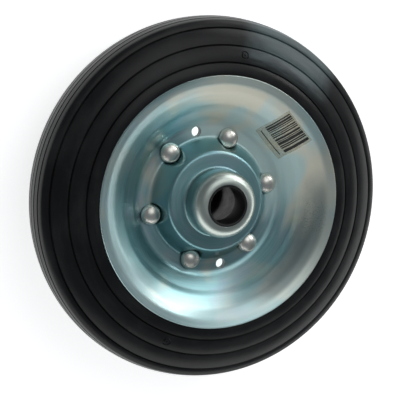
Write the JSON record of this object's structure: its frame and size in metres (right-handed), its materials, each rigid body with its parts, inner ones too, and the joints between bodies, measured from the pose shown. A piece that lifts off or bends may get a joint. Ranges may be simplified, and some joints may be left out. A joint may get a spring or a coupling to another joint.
{
  "type": "jockey wheel",
  "caption": "Solid rubber wheel on two riveted pressed-steel discs with a raised hub, plastic bushes and a through bore for an axle.",
  "frame": {"origin": "middle of the wheel: the point on the axle line halfway between the two hub ends", "axes": "+Z along the axle towards the labelled face; +X and +Y in the wheel's plane"},
  "size_m": [0.2, 0.2, 0.058],
  "materials": {
    "tyre": "black moulded rubber, semi-matt",
    "zinc": "bright zinc plate with a blue passivate, spun sheen",
    "tube": "plain drawn steel tube",
    "bush": "black nylon",
    "rivet": "bright domed steel heads",
    "label": "thin clear film with dark printed bars"
  },
  "bodies": {
    "root": {"tyre": "tyre", "front_disc": "zinc", "rear_disc": "zinc", "hub_tube": "tube", "front_bush": "bush", "rear_bush": "bush", "rivets": "rivet", "label": "label"}
  },
  "joints": []
}
